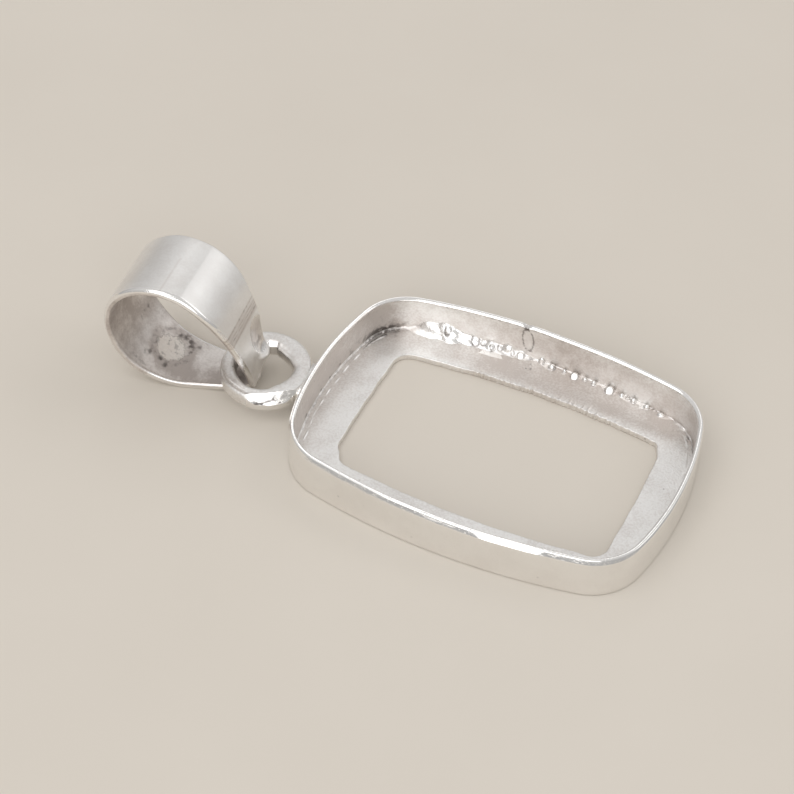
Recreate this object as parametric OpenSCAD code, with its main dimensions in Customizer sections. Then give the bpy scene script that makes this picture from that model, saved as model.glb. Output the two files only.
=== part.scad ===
// Pendant mount in sterling silver: an open-backed bezel cup for a cushion-shaped
// stone, with a soldered jump ring and a folded leaf-shaped bail hanging on it.
// Millimetres. +X runs from the bail to the far end of the cup, +Z is up.
// The back of the cup lies on Z = 0 and the origin is the middle of the whole
// piece's footprint.

/* [Cup] */
// inside length of the bezel, for the stone
stone_length = 18.04; // [17:0.05:20]
// inside width of the bezel, for the stone
stone_width = 12.88; // [12:0.05:14.5]
// height of the bezel wall from back to rim
wall_height = 2.3; // [1.9:0.05:3.2]
// thickness of the bezel strip
wall_thickness = 0.28; // [0.22:0.01:0.4]
// bow of the long sides, as a radius of the outside
long_side_radius = 32.4; // [28:0.2:45]
// bow of the short sides, as a radius of the outside
short_side_radius = 16.2; // [14:0.2:24]
// radius of the rounded corners, outside
corner_radius = 2.83; // [2.2:0.01:3.2]

/* [Back] */
// thickness of the back plate
plate_thickness = 0.32; // [0.25:0.01:0.5]
// length of the window sawn in the back
window_length = 13.95; // [12.8:0.05:14.4]
// width of the window sawn in the back
window_width = 8.8; // [7.9:0.05:9.2]
// bow of the window's long sides, as a radius
window_long_radius = 44; // [36:1:60]
// bow of the window's short sides, as a radius
window_short_radius = 69; // [50:1:90]
// shift of the window along the cup, sawn by eye
window_shift_x = 0.12; // [-0.2:0.01:0.2]
// shift of the window across the cup
window_shift_y = 0.03; // [-0.2:0.01:0.2]
// corner radii of the window, sawn by eye: far back, far front, near front, near back
window_corners = [1.2, 0.7, 1, 0.8]; // [0.4:0.05:1.5]

/* [Ring] */
// radius of the jump ring to the middle of its wire
ring_radius = 1.85; // [1.8:0.01:1.95]
// width of the ring's section, across
ring_width = 0.74; // [0.6:0.01:0.8]
// height of the ring's section, up
ring_height = 1.04; // [0.8:0.01:1.1]
// softening of the ring's edges
ring_edge = 0.28; // [0.2:0.01:0.29]
// gap between ring and wall that the solder fills
ring_gap = 0.1; // [0.05:0.01:0.14]
// height of the ring's middle over the back
ring_lift = 1.16; // [1.14:0.01:1.22]
// shift of the ring from the middle of the short side
ring_shift = -0.9; // [-1:0.05:-0.8]
// tilt of the ring, its far side higher
ring_tilt = 3.4; // [0:0.1:4]
// radius of the hollow in which the solder ends, either side of the joint
solder_hollow = 0.3; // [0.2:0.01:0.38]
// height of the solder between ring and wall
solder_height = 0.84; // [0.6:0.02:0.88]

/* [Bail] */
// full width of the folded strip
bail_width = 4.12; // [3.6:0.02:4.4]
// thickness of the strip
bail_sheet = 0.33; // [0.25:0.01:0.36]
// width of the strip at its rounded ends
bail_tip_width = 1.86; // [1.6:0.02:2]
// sideways lean of the two ends
bail_tip_lean = 0.22; // [0.1:0.01:0.35]
// turn of the bail away from the cup's length
bail_yaw = 4.5; // [3:0.1:6]
// how far behind the ring's middle the bail rests on the table
bail_behind = 3.545; // [3.48:0.005:3.6]
// the same place, across the cup
bail_rest_y = -1.29; // [-1.4:0.01:-1.2]

/* [Hidden] */
$fn = 96;
silver = [0.83, 0.83, 0.84];
pale_silver = [0.78, 0.78, 0.8];
// how far a cutting shape runs past what it cuts
over = 1;

function dir(a) = [cos(a), sin(a)];

half_length = stone_length / 2 + wall_thickness;
half_width = stone_width / 2 + wall_thickness;

// A bowed outline has four side arcs and a disc in every corner. half is its
// half size and bows are the radii of its long and its short sides.

// where the middles of the long and the short side arcs stand, off the centre
function arc_middles(half, bows) = [half.y - bows.x, half.x - bows.y];

// where circles round a and b cross, to the right of the way from a to b
function crossing(a, radius_a, b, radius_b) =
    let (
        span = norm(b - a),
        toward = (b - a) / span,
        along = (radius_a * radius_a - radius_b * radius_b + span * span) / (2 * span),
        aside = sqrt(radius_a * radius_a - along * along)
    )
    a + along * toward + aside * [toward.y, -toward.x];

// centre of a corner disc that touches a long and a short side from inside
function disc_centre(half, bows, r) =
    let (m = arc_middles(half, bows))
    crossing([0, m[0]], bows.x - r, [m[1], 0], bows.y - r);

// the straight cut across a corner, from where the disc meets the long side to
// where it meets the short one, drawn out past the outline at both ends
function corner_cut(half, bows, r) =
    let (
        m = arc_middles(half, bows),
        c = disc_centre(half, bows, r),
        first = c + r * dir(atan2(c.y - m[0], c.x)),
        last = c + r * dir(atan2(c.y, c.x - m[1])),
        edge = last - first,
        far = half + [over, over]
    )
    [first + edge * (far.y - first.y) / edge.y, first + edge * (far.x - first.x) / edge.x];

// the four corners in turn, and one corner's points carried to each of them
corner_signs = [[1, 1], [1, -1], [-1, -1], [-1, 1]];
function carried(p, sign) = [p.x * sign.x, p.y * sign.y];
// arcs that touch others stand this much proud, so that they cross them cleanly
arc_lap = 0.012;

// ring centre, from the middle of the cup
ring_centre = -half_length - ring_gap - ring_radius - ring_width / 2;

// where the bail rests, from the middle of the cup
bail_rest_x = ring_centre - bail_behind;

// The strip's outer line: radius and turn of each bend, from the end that lies
// on the table round to the end that comes down through the ring.
sole = [18.9, 9.7];
heel = [3.93, 76.5];
back = [2.87, 44.7];
crown = [3.03, 94.8];
shoulder = [3.85, 25.5];
leg = [10, 26.6];
bend_step = 4;
heel_end = -90 - heel[1];
back_end = heel_end - back[1];
crown_end = back_end - crown[1];
shoulder_end = crown_end - shoulder[1];
sole_centre = [0, sole[0]];
heel_centre = [0, heel[0]];
back_centre = heel_centre + (heel[0] - back[0]) * dir(heel_end);
crown_centre = back_centre + (back[0] - crown[0]) * dir(back_end);
shoulder_centre = crown_centre + (crown[0] - shoulder[0]) * dir(crown_end);
leg_centre = shoulder_centre + (shoulder[0] - leg[0]) * dir(shoulder_end);
tip = leg_centre + leg[0] * dir(shoulder_end - leg[1]);
// inside, the two bends stop this many degrees short and solder fills the tip
sole_short = 1.8;
leg_short = 3;
// the strip narrows below this height on the upper end, and forward of this
// place on the lower end, where it has risen to heel_height
narrow_below = 6.3;
narrow_ahead = -3.4;
heel_height = 2.4;
// the upper end's cut stops here and the lower end's takes over
tip_split = 0.6;
tip_overhang = 0.15;

// the middle of the whole footprint, from the middle of the cup
bail_end = bail_rest_x + (back_centre.x - back[0]) * cos(bail_yaw)
    - bail_width / 2 * sin(bail_yaw);
middle = (half_length + bail_end) / 2;

// The cup: one strip wall soldered round the edge of a flat back.

// side arcs with the corners cut off straight, then a disc in every corner
module bowed(half, bows, corners, inset) {
    m = arc_middles(half, bows);
    cuts = [for (i = [0:3])
                let (c = corner_cut(half, bows, corners[i]))
                for (p = i % 2 == 0 ? c : [c[1], c[0]])
                    carried(p, corner_signs[i])];
    intersection() {
        translate([0, m[0]]) circle(bows.x - inset);
        translate([0, -m[0]]) circle(bows.x - inset);
        translate([m[1], 0]) circle(bows.y - inset);
        translate([-m[1], 0]) circle(bows.y - inset);
        polygon(cuts);
    }
    for (i = [0:3])
        translate(carried(disc_centre(half, bows, corners[i]), corner_signs[i]))
            circle(corners[i] - inset + arc_lap);
}

module cushion(inset) {
    r = corner_radius;
    bowed([half_length, half_width], [long_side_radius, short_side_radius],
          [r, r, r, r], inset);
}

module window_outline() {
    bowed([window_length, window_width] / 2, [window_long_radius, window_short_radius],
          window_corners, 0);
}

module wall() {
    linear_extrude(wall_height)
        difference() {
            cushion(0);
            cushion(wall_thickness);
        }
}

module back_plate() {
    linear_extrude(plate_thickness)
        difference() {
            cushion(wall_thickness / 2);
            translate([window_shift_x, window_shift_y]) window_outline();
        }
}

// The ring: closed, flattened a little on top, and soldered to the short side.

module ring_section() {
    w = ring_width / 2 - ring_edge;
    h = ring_height / 2 - ring_edge;
    square([ring_width, 2 * h], center = true);
    square([2 * w, ring_height], center = true);
    for (x = [-w, w], y = [-h, h]) translate([x, y]) circle(ring_edge);
}

module jump_ring() {
    translate([ring_centre, ring_shift, ring_lift])
        rotate([ring_tilt, 0, 0])
            rotate_extrude() translate([ring_radius, 0]) ring_section();
}

// solder that fills the gap between ring and wall as far as two hollows, each the
// side of a disc that touches both
module ring_solder() {
    ring_outer = ring_radius + ring_width / 2;
    side_middle = [short_side_radius - half_length - ring_centre, -ring_shift];
    to_ring = ring_outer + solder_hollow;
    to_side = short_side_radius + solder_hollow;
    near = crossing([0, 0], to_ring, side_middle, to_side);
    far = crossing(side_middle, to_side, [0, 0], to_ring);
    translate([ring_centre, ring_shift, ring_lift])
        rotate([ring_tilt, 0, 0])
            linear_extrude(solder_height, center = true)
                difference() {
                    polygon([[0, 0], near, side_middle, far]);
                    circle(ring_radius);
                    translate(side_middle) circle(short_side_radius - wall_thickness / 2);
                    for (middle = [near, far])
                        translate(middle) circle(solder_hollow - arc_lap);
                }
}

module bezel_cup() {
    color(silver)
        translate([-middle, 0, 0]) {
            wall();
            back_plate();
            jump_ring();
            ring_solder();
        }
}

// The bail: one strip folded round until its two tapered ends meet.

// points along a bend, without the first one
function bend(centre, r, from, to) =
    let (n = ceil(abs(to - from) / bend_step))
    [for (i = [1:n]) centre + r * dir(from + (to - from) * i / n)];

// the whole line from end to end, inset by part of the sheet
function strip_line(inset, sole_cut, leg_cut) =
    let (start = -90 + sole[1] - sole_cut)
    concat(
        [sole_centre + (sole[0] - inset) * dir(start)],
        bend(sole_centre, sole[0] - inset, start, -90),
        bend(heel_centre, heel[0] - inset, -90, heel_end),
        bend(back_centre, back[0] - inset, heel_end, back_end),
        bend(crown_centre, crown[0] - inset, back_end, crown_end),
        bend(shoulder_centre, shoulder[0] - inset, crown_end, shoulder_end),
        bend(leg_centre, leg[0] - inset, shoulder_end, shoulder_end - leg[1] + leg_cut)
    );

module folded_strip() {
    rotate([90, 0, 0])
        linear_extrude(bail_width, center = true)
            difference() {
                polygon(strip_line(0, 0, 0));
                polygon(strip_line(bail_sheet, sole_short, leg_short));
            }
}

// a tapered end: round at the tip, leaning a little, full width past wide
module end_outline(from, wide) {
    r = bail_tip_width / 2;
    polygon([[from + r, bail_tip_lean - r],
             [wide, -bail_width / 2],
             [wide + over, -bail_width / 2],
             [wide + over, bail_width / 2],
             [wide, bail_width / 2],
             [from + r, bail_tip_lean + r]]);
    translate([from + r, bail_tip_lean]) circle(r);
}

// room for the loop, left at full width
module loop_room() {
    translate([-bail_width * 2, -bail_width, heel_height])
        cube([bail_width * 2 + crown_centre.x, bail_width * 2, bail_width * 2]);
}

module lower_end_room() {
    translate([0, 0, -over])
        linear_extrude(tip_split + over)
            mirror([1, 0]) end_outline(-tip.x - tip_overhang, -narrow_ahead);
    intersection() {
        translate([0, 0, -over])
            linear_extrude(heel_height + over)
                mirror([1, 0]) end_outline(-tip.x - tip_overhang, -narrow_ahead);
        translate([-bail_width * 2, -bail_width, -over])
            cube([bail_width * 2 + crown_centre.x, bail_width * 2, heel_height + over]);
    }
}

module upper_end_room() {
    intersection() {
        translate([tip.x + over, 0, 0])
            rotate([0, -90, 0])
                linear_extrude(tip.x - crown_centre.x + over)
                    end_outline(tip.y, narrow_below);
        translate([crown_centre.x, -bail_width, tip_split])
            cube([bail_width * 2, bail_width * 2, bail_width * 2]);
    }
}

module bail() {
    color(pale_silver)
        translate([bail_rest_x - middle, bail_rest_y, 0])
            rotate([0, 0, bail_yaw])
                intersection() {
                    folded_strip();
                    union() {
                        loop_room();
                        lower_end_room();
                        upper_end_room();
                    }
                }
}

bezel_cup();
bail();
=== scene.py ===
# %% [markdown]
# # A bezel cup with its bail, in silver
#
# This is a pendant mount before its stone is set. A thin strip of silver is bent
# into a cushion-shaped wall and soldered round a flat back with a window sawn in
# it. A jump ring is soldered to one end, and a folded leaf-shaped bail hangs on it.
# The CAD model gives every size and place. This lesson remakes the same pieces as
# finer meshes, because handwork is in the small things: a filed rim, lumpy solder,
# a window sawn by eye, and silver that is polished in one place and dull in the next.

import math

import bpy
import numpy as np
from mathutils import Matrix, Vector


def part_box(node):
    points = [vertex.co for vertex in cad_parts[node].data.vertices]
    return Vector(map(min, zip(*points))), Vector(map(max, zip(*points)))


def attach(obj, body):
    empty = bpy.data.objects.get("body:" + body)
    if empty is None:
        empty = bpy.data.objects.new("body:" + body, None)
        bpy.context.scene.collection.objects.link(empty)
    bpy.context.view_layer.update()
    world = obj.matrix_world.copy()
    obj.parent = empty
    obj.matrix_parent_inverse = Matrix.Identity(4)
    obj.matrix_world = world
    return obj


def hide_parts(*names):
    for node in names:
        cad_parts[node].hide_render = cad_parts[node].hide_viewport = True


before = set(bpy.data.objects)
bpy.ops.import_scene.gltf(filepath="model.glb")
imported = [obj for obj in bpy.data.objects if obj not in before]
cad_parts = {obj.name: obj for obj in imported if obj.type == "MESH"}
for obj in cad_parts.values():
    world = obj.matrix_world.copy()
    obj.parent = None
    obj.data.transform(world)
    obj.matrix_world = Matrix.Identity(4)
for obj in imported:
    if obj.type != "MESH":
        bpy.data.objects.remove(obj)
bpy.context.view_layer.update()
MM = 0.001
SEED = 7
for part_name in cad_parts:
    low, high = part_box(part_name)
    size = [round((high[i] - low[i]) / MM, 2) for i in range(3)]
    print(part_name, "measures", size, "mm")

# %% [markdown]
# ## Sizes from the drawing
#
# These are the numbers the CAD model was drawn with, in millimetres. The middle of
# the cup isn't the middle of the whole piece, because the bail lies to its left, so
# everything on the cup is drawn about its own middle and moved along afterwards.

# %% Sizes
# the cup: where its middle is, its strip, and half its outline with the arcs' radii
CUP_X = 4.958
WALL_HEIGHT = 2.3
WALL = 0.28
HALF = (9.3, 6.72)
BOWS = (32.4, 16.2)
CORNER = 2.83
# the back plate and its window, with a radius for each corner
PLATE = 0.32
WINDOW_HALF = (6.975, 4.4)
WINDOW_BOWS = (44.0, 69.0)
WINDOW_CORNERS = (1.2, 0.8, 1.0, 0.7)
WINDOW_SHIFT = (0.12, 0.03)
# the jump ring: its middle line, its wire, and its place from the cup's middle
RING_RADIUS = 1.85
RING_WIDTH = 0.74
RING_HEIGHT = 1.04
RING_AT = (-11.62, -0.9, 1.16)
RING_TILT = math.radians(3.4)
# the bail: its sheet, and where its first end lies and how far it is turned
SHEET = 0.33
BAIL_AT = (-10.207, -1.29)
BAIL_YAW = math.radians(4.5)
print("the wall stands", WALL_HEIGHT, "mm high and is", WALL, "mm thick")

# %% [markdown]
# ## Making meshes
#
# Every piece here is a grid of points bent into shape, so small helpers are enough.
# One lists the faces of a grid, one tells which way they look, one puts an object in
# the scene, and one makes a whole piece from points in millimetres. Modelling by hand
# would work too, but a formula keeps each wall as thick as the drawing says.

# %% Mesh helpers
def grid_faces(rows, columns, close_rows=False, close_columns=False):
    """Four-sided faces of a grid of points, counted row by row."""
    i = np.arange(rows if close_rows else rows - 1)
    j = np.arange(columns if close_columns else columns - 1)
    i, j = np.meshgrid(i, j, indexing="ij")
    below, right = (i + 1) % rows, (j + 1) % columns
    corners = [i * columns + j, below * columns + j, below * columns + right, i * columns + right]
    return np.stack(corners, -1).reshape(-1, 4)


def signed_volume(points, faces):
    """The volume inside the faces, below zero if they look inward."""
    a, b, c, d = (points[faces[:, k]] for k in range(4))
    first = np.einsum("ij,ij->i", a, np.cross(b, c))
    second = np.einsum("ij,ij->i", a, np.cross(c, d))
    return (first.sum() + second.sum()) / 6


def put_in_scene(name, data):
    """A new object in the scene for a mesh, a lamp or a camera."""
    made = bpy.data.objects.new(name, data)
    bpy.context.scene.collection.objects.link(made)
    return made


def make_piece(name, points, faces, materials, parts=None, marks=None, sharp=60):
    """An object from points in millimetres. parts picks each face's material and
    marks are named numbers, one a point, that the materials can read. A face that
    names its last corner twice is a triangle."""
    points = np.asarray(points, float).reshape(-1, 3)
    if signed_volume(points, faces) < 0:
        faces = faces[:, ::-1]
    corners = [list(dict.fromkeys(face)) for face in faces.tolist()]
    mesh = bpy.data.meshes.new(name)
    mesh.from_pydata((points * MM).tolist(), [], corners)
    for material in materials:
        mesh.materials.append(material)
    if parts is not None:
        mesh.polygons.foreach_set("material_index", np.asarray(parts, np.int32).ravel())
    for mark, values in (marks or {}).items():
        layer = mesh.attributes.new(mark, "FLOAT", "POINT")
        layer.data.foreach_set("value", np.asarray(values, np.float32).ravel())
    mesh.shade_smooth()
    mesh.set_sharp_from_angle(angle=math.radians(sharp))
    print(name, "has", len(points), "points and", sum(len(c) - 2 for c in corners), "triangles")
    return put_in_scene(name, mesh)


print("mesh helpers ready")

# %% [markdown]
# ## Waves, rises and spots
#
# Nothing made by hand is quite straight, and polished metal shows a hundredth of a
# millimetre as a wobble in what it mirrors. Waves and lumps give that wobble, from
# numbered seeds so that each run is the same. The rest are soft masks, a rise, a hump
# and a spot, and one hollow curve. They shape the metal and say where a stain lies.

# %% Shape helpers
def waves(along, total, size, slowest, quickest, seed):
    """Slow waves of about that size that meet themselves after the total length."""
    random = np.random.default_rng(SEED + seed)
    result = np.zeros(np.shape(along))
    for k in range(slowest, quickest + 1):
        strength = random.normal() / math.sqrt(quickest - slowest + 1)
        turn = random.uniform(0, 2 * math.pi)
        result = result + strength * np.cos(2 * math.pi * k * along / total + turn)
    return size * result


def lumpy(x, y, size, seed, shortest=0.22, longest=0.8, count=48):
    """Random shallow waves in every direction, as metal has that ran and set."""
    random = np.random.default_rng(SEED + seed)
    result = np.zeros(np.shape(x))
    for _ in range(count):
        heading, start = random.uniform(0, 2 * math.pi, 2)
        length = random.uniform(shortest, longest)
        phase = 2 * math.pi * (x * math.cos(heading) + y * math.sin(heading)) / length
        result = result + np.cos(phase + start)
    return size * math.sqrt(2 / count) * result


def ease(value, start, end):
    """0 before start, 1 after end and a smooth rise between."""
    t = np.clip((value - start) / (end - start), 0, 1)
    return t * t * (3 - 2 * t)


def between(value, start, full, fall, end):
    """1 from full to fall, 0 outside start and end, and smooth where it changes."""
    return ease(value, start, full) * (1 - ease(value, fall, end))


def hump(value, middle, width):
    """1 at the middle, about a third at width and next to nothing at twice that."""
    return np.exp(-(((value - middle) / width) ** 2))


def spot(x, y, centre, reach):
    """The same in two directions, with a reach for each."""
    return np.exp(-(((x - centre[0]) / reach[0]) ** 2 + ((y - centre[1]) / reach[1]) ** 2))


def spots(x, y, table):
    """Several spots added up: a strength, a centre and a reach each."""
    return sum(strength * spot(x, y, centre, reach) for strength, centre, reach in table)


def specks(x, y, table, stretch=1.0):
    """The strongest of several small marks: a place and a size each."""
    return np.max([spot(x, y, (a, b), (size, stretch * size)) for a, b, size in table], axis=0)


def scooped(share):
    """A quarter-round hollow: 0 at 0, steep towards 1."""
    return 1 - np.sqrt(1 - share**2)


print("shape helpers ready")

# %% [markdown]
# ## Node helpers
#
# Materials are built from nodes. These helpers keep that short: one makes a node
# and wires it, the others stand for the sums that every material needs. A sum finds
# its tree through its first input, so that sums can be written inside each other.

# %% Node helpers
def node(tree, kind, values=None, **settings):
    """A node with its settings made and its inputs filled in or wired up."""
    made = tree.nodes.new(kind)
    for setting, value in settings.items():
        setattr(made, setting, value)
    for key, value in (values or {}).items():
        if isinstance(value, bpy.types.NodeSocket):
            tree.links.new(value, made.inputs[key])
        else:
            made.inputs[key].default_value = value
    return made


def maths(operation, a, b, clamp=False):
    """A sum node in the tree that a comes from."""
    values = {0: a, 1: b}
    return node(a.id_data, "ShaderNodeMath", values, operation=operation, use_clamp=clamp).outputs[0]


def times(a, b):
    return maths("MULTIPLY", a, b)


def plus(a, b, clamp=False):
    return maths("ADD", a, b, clamp)


def larger(a, b, clamp=False):
    return maths("MAXIMUM", a, b, clamp)


def rise(value, start, end, low=0.0, high=1.0):
    """low before start, high after end and a smooth rise between."""
    values = {"Value": value, "From Min": start, "From Max": end, "To Min": low, "To Max": high}
    return node(
        value.id_data, "ShaderNodeMapRange", values, interpolation_type="SMOOTHSTEP"
    ).outputs[0]


def blend(amount, a, b):
    """Colour a where amount is 0 and colour b where it is 1."""
    values = {0: amount, 6: a, 7: b}
    return node(amount.id_data, "ShaderNodeMix", values, data_type="RGBA").outputs[2]


def noise(place, scale, detail, **others):
    """Cloudy noise from 0 to 1, finer where scale is higher."""
    values = {"Vector": place, "Scale": scale, "Detail": detail, **others}
    return node(place.id_data, "ShaderNodeTexNoise", values).outputs["Fac"]


def mark(tree, name):
    """One of the marks on the mesh's points, by name."""
    return node(tree, "ShaderNodeAttribute", attribute_name=name).outputs["Fac"]


def in_millimetres(tree):
    """The place on the object, in millimetres."""
    place = node(tree, "ShaderNodeTexCoord").outputs["Object"]
    scaled = node(tree, "ShaderNodeVectorMath", {0: place}, operation="SCALE")
    scaled.inputs["Scale"].default_value = 1 / MM
    return scaled.outputs[0]


def make_group(name, inputs, outputs):
    """An empty group with vectors going in and numbers coming out, and its two ends."""
    group = bpy.data.node_groups.new(name, "ShaderNodeTree")
    for label in inputs:
        group.interface.new_socket(label, in_out="INPUT", socket_type="NodeSocketVector")
    for label in outputs:
        group.interface.new_socket(label, in_out="OUTPUT", socket_type="NodeSocketFloat")
    return group, group.nodes.new("NodeGroupInput"), group.nodes.new("NodeGroupOutput")


print("node helpers ready")

# %% [markdown]
# ## Three wear patterns
#
# Silver that has been soldered, pickled and rubbed shows three things. There is a
# fine grain left by the polishing grit, thin scratches that run in two directions,
# and clouds where the skin is duller. Each is a group that gives only numbers, so
# every material can use it in its own measure.

# %% Wear patterns
def make_grain():
    """Fine grit marks: a height for the bump and a cloud for the roughness."""
    group, start, end = make_group("satin_grain", ["Place"], ["Height", "Patches"])
    place = start.outputs["Place"]
    group.links.new(noise(place, 9.0, 5.0), end.inputs["Height"])
    group.links.new(rise(noise(place, 1.3, 3.0), 0.35, 0.65), end.inputs["Patches"])
    return group


def make_scratches():
    """Thin straight scratches in two directions that cross."""
    group, start, end = make_group("fine_scratches", ["Place", "Turn"], ["Lines"])
    values = {"Vector": start.outputs["Place"], "Rotation": start.outputs["Turn"]}
    turned = node(group, "ShaderNodeVectorRotate", values, rotation_type="EULER_XYZ")
    layers = []
    for extra, fineness in ((0.0, 17.0), (0.9, 11.0)):
        values = {"Vector": turned.outputs[0], "Angle": extra}
        also = node(group, "ShaderNodeVectorRotate", values, rotation_type="Z_AXIS")
        values = {"Vector": also.outputs[0], "Scale": (0.35, fineness, fineness)}
        drawn = node(group, "ShaderNodeMapping", values, vector_type="POINT")
        layers.append(rise(noise(drawn.outputs[0], 1.0, 2.0), 0.6, 0.72))
    group.links.new(larger(*layers), end.inputs["Lines"])
    return group


def make_clouds():
    """Soft clouds of tarnish and a scatter of small dark specks."""
    group, start, end = make_group("tarnish_clouds", ["Place"], ["Clouds", "Specks"])
    place = start.outputs["Place"]
    clouds = noise(place, 0.55, 6.0, Roughness=0.66, Distortion=0.1)
    cells = node(group, "ShaderNodeTexVoronoi", {"Vector": place, "Scale": 1.5})
    dots = rise(cells.outputs["Distance"], 0.03, 0.11, 1.0, 0.0)
    kept = rise(noise(place, 0.8, 1.0), 0.52, 0.6)
    group.links.new(rise(clouds, 0.38, 0.66), end.inputs["Clouds"])
    group.links.new(times(dots, kept), end.inputs["Specks"])
    return group


GRAIN, SCRATCHES, CLOUDS = make_grain(), make_scratches(), make_clouds()
print("groups:", GRAIN.name, SCRATCHES.name, CLOUDS.name)

# %% [markdown]
# ## The silver itself
#
# All the pieces are one metal, sterling silver. What changes from face to face is
# the finish: the outside of the wall was buffed until it mirrors, the inside and the
# ledge stayed satin, and the inside of the bail kept the greyish-pink stain that a
# torch leaves. One maker builds them all, from a few named amounts.

# %% Silver finishes
CLEAN_SILVER = (0.93, 0.92, 0.905, 1)
DULL_SILVER = (0.66, 0.61, 0.575, 1)
FIRE_STAIN = (0.54, 0.49, 0.46, 1)
DARK_MARK = (0.16, 0.14, 0.13, 1)
CRUST = (0.86, 0.82, 0.78, 1)
BUMP_DEEP = 0.02


def silver(name, rough, rough_dull, dulling, grain, scratches, turn=(0, 0, 0), dull=DULL_SILVER,
           clean=CLEAN_SILVER, specks=0.5):
    """rough to rough_dull is the blur from clean to clouded metal, dulling is how far
    the clouds show, and grain and scratches are the depths of those marks. turn is
    the way the scratches run, and specks is how dark the specks are."""
    material = bpy.data.materials.new(name)
    material.use_nodes = True
    tree = material.node_tree
    surface = tree.nodes["Principled BSDF"]
    place = in_millimetres(tree)
    wear = node(tree, "ShaderNodeGroup", {}, node_tree=GRAIN)
    lines = node(tree, "ShaderNodeGroup", {}, node_tree=SCRATCHES)
    cloud = node(tree, "ShaderNodeGroup", {}, node_tree=CLOUDS)
    for user in (wear, lines, cloud):
        tree.links.new(place, user.inputs["Place"])
    lines.inputs["Turn"].default_value = turn
    # how clouded the metal is: clouds, the stain marks, which also carry painted shade and painted
    # reflections, and a fine mottle
    clouded = plus(times(cloud.outputs["Clouds"], dulling), mark(tree, "stain"))
    mottled = rise(wear.outputs["Height"], 0.35, 0.65, -0.5, 0.5)
    clouded = plus(clouded, times(mottled, 0.4 * grain), clamp=True)
    # what is dark: specks, and the dark marks with an edge that noise tears; the dark marks are partly
    # painted shade and painted dark reflections
    ragged = noise(place, 4.2, 4.0)
    marked = mark(tree, "dark")
    marked = times(marked, rise(plus(ragged, times(marked, 0.3)), 0.55, 0.78))
    dark = larger(times(cloud.outputs["Specks"], specks), marked, clamp=True)
    # rough pale crust with dark pores
    crust = rise(plus(mark(tree, "crust"), times(ragged, 0.7)), 0.80, 0.88)
    dark = larger(dark, times(crust, rise(ragged, 0.56, 0.68, 0.0, 0.3)))
    colour = blend(clouded, clean, dull)
    # the bright marks: cleaner metal, and painted highlights on the solder, on the ring's filed flat and
    # on the bail
    colour = blend(mark(tree, "bright"), colour, CLEAN_SILVER)
    colour = blend(crust, colour, CRUST)
    colour = blend(dark, colour, DARK_MARK)
    tree.links.new(colour, surface.inputs["Base Color"])
    surface.inputs["Metallic"].default_value = 1.0
    # clouds, scratches and crust blur what the metal mirrors
    mixed = plus(times(clouded, 0.7), times(wear.outputs["Patches"], 0.3), clamp=True)
    blur = rise(mixed, 0.0, 1.0, rough, rough_dull)
    scored = times(lines.outputs["Lines"], min(1.0, scratches * 2))
    blur = plus(blur, times(scored, 0.12), clamp=True)
    blur = plus(blur, times(crust, 0.25), clamp=True)
    tree.links.new(blur, surface.inputs["Roughness"])
    # grain and crust stand up and scratches go down
    height = times(wear.outputs["Height"], grain)
    height = plus(height, times(lines.outputs["Lines"], -scratches))
    height = plus(height, times(times(crust, ragged), 5.0))
    bump = node(tree, "ShaderNodeBump", {"Height": height, "Distance": BUMP_DEEP * MM, "Strength": 1.0})
    tree.links.new(bump.outputs[0], surface.inputs["Normal"])
    return material


print("colours:", CLEAN_SILVER[:3], "to", DULL_SILVER[:3])

# %% [markdown]
# ## The eight finishes
#
# Each line is one finish: its blur where it is clean and where it is clouded, how far
# the clouds show, and how deep the grain and the scratches are. The wheel reached the
# rim and the outside of the wall. The file left the window's edge scored, and only
# the torch and the acid touched the inside of the bail.

# %% Finishes
POLISHED = silver("polished_silver", 0.10, 0.22, 0.10, 0.10, 0.10, specks=0.1)
BUFFED = silver("buffed_silver", 0.08, 0.2, 0.12, 0.12, 0.12, turn=(0, 0, 0.3), specks=0.3)
SATIN = silver("satin_silver", 0.36, 0.5, 0.32, 0.8, 0.16, turn=(0, 0, 0.6))
WALL_SATIN = silver("inner_wall_silver", 0.32, 0.48, 0.55, 0.7, 0.12, turn=(0, 0.4, 0))
SOLDER = silver("solder", 0.22, 0.40, 0.5, 0.6, 0.0)
SAWN = silver("sawn_silver", 0.3, 0.45, 0.3, 0.8, 0.5, turn=(0, 1.57, 0))
BAIL_OUTSIDE = silver("bail_satin", 0.38, 0.46, 0.25, 0.25, 0.06, turn=(0, 0, 1.6), specks=0.0)
BAIL_INSIDE = silver("bail_fire_stain", 0.36, 0.55, 0.8, 0.5, 0.02, dull=FIRE_STAIN,
                     clean=(0.80, 0.76, 0.73, 1))
print("finishes:", ", ".join(m.name for m in bpy.data.materials))

# %% [markdown]
# ## The bowed outline
#
# The cup and its window are not true rectangles. Each side is a shallow arc and each
# corner a small one that meets them smoothly. Working the arcs out exactly gives the
# direction straight out of the line at every point, and with that the same line can
# be moved in by any amount and stay true, just as a bent strip keeps its thickness.

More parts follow.
